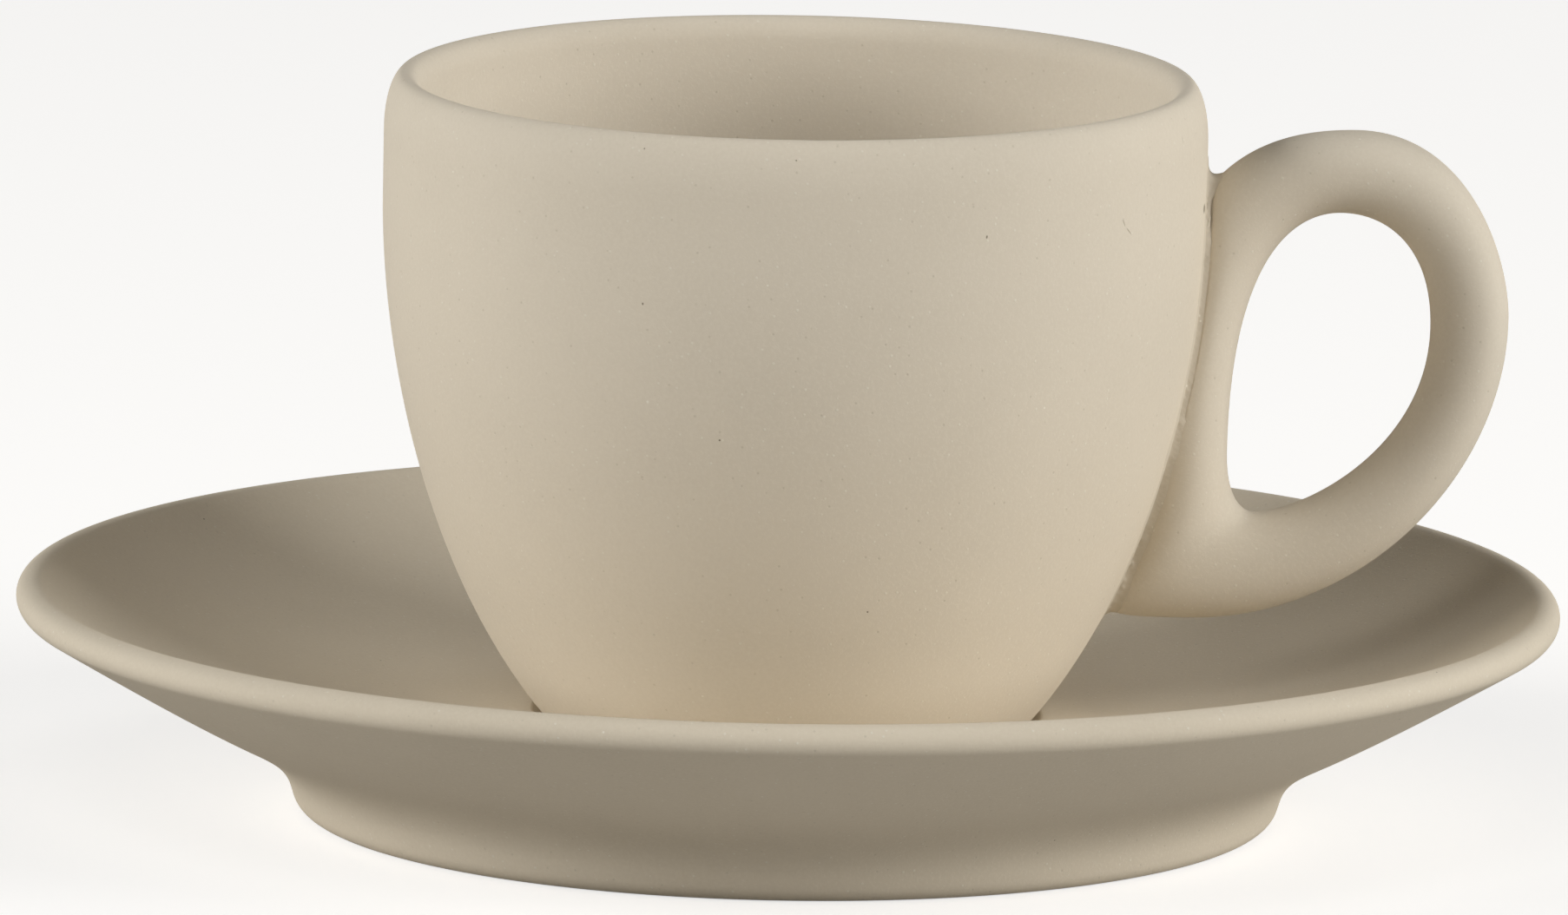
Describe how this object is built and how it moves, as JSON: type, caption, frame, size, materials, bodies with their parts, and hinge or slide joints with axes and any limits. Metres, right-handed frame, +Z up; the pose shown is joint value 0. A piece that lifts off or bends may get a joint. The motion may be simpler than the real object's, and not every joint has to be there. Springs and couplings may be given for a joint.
{
  "type": "espresso cup and saucer",
  "caption": "Egg-shaped espresso cup with a rolled lip and a pressed loop handle, standing in the shallow well of a round saucer with a foot ring; the cup lifts off.",
  "frame": {"origin": "on the saucer's axis, in the plane of the table that its foot ring stands on", "axes": "+Z up along the axis of cup and saucer; +X towards the middle of the handle; +Y to the left of the handle seen from above the cup"},
  "size_m": [0.12, 0.12, 0.0579],
  "materials": {
    "saucer_stoneware": "matte glazed, fine grain",
    "cup_stoneware": "matte glazed, fine grain",
    "handle_stoneware": "matte glazed, fine grain",
    "joining_slip": "matte, slightly crumbly seam"
  },
  "bodies": {
    "saucer": {"saucer": "saucer_stoneware"},
    "cup": {"cup_body": "cup_stoneware", "cup_handle": "handle_stoneware", "handle_slip": "joining_slip"}
  },
  "joints": [
    {"name": "cup_lift", "type": "slide", "parent": "saucer", "child": "cup", "axis": [0, 0, 1], "range_m": [0, 0.06]}
  ]
}
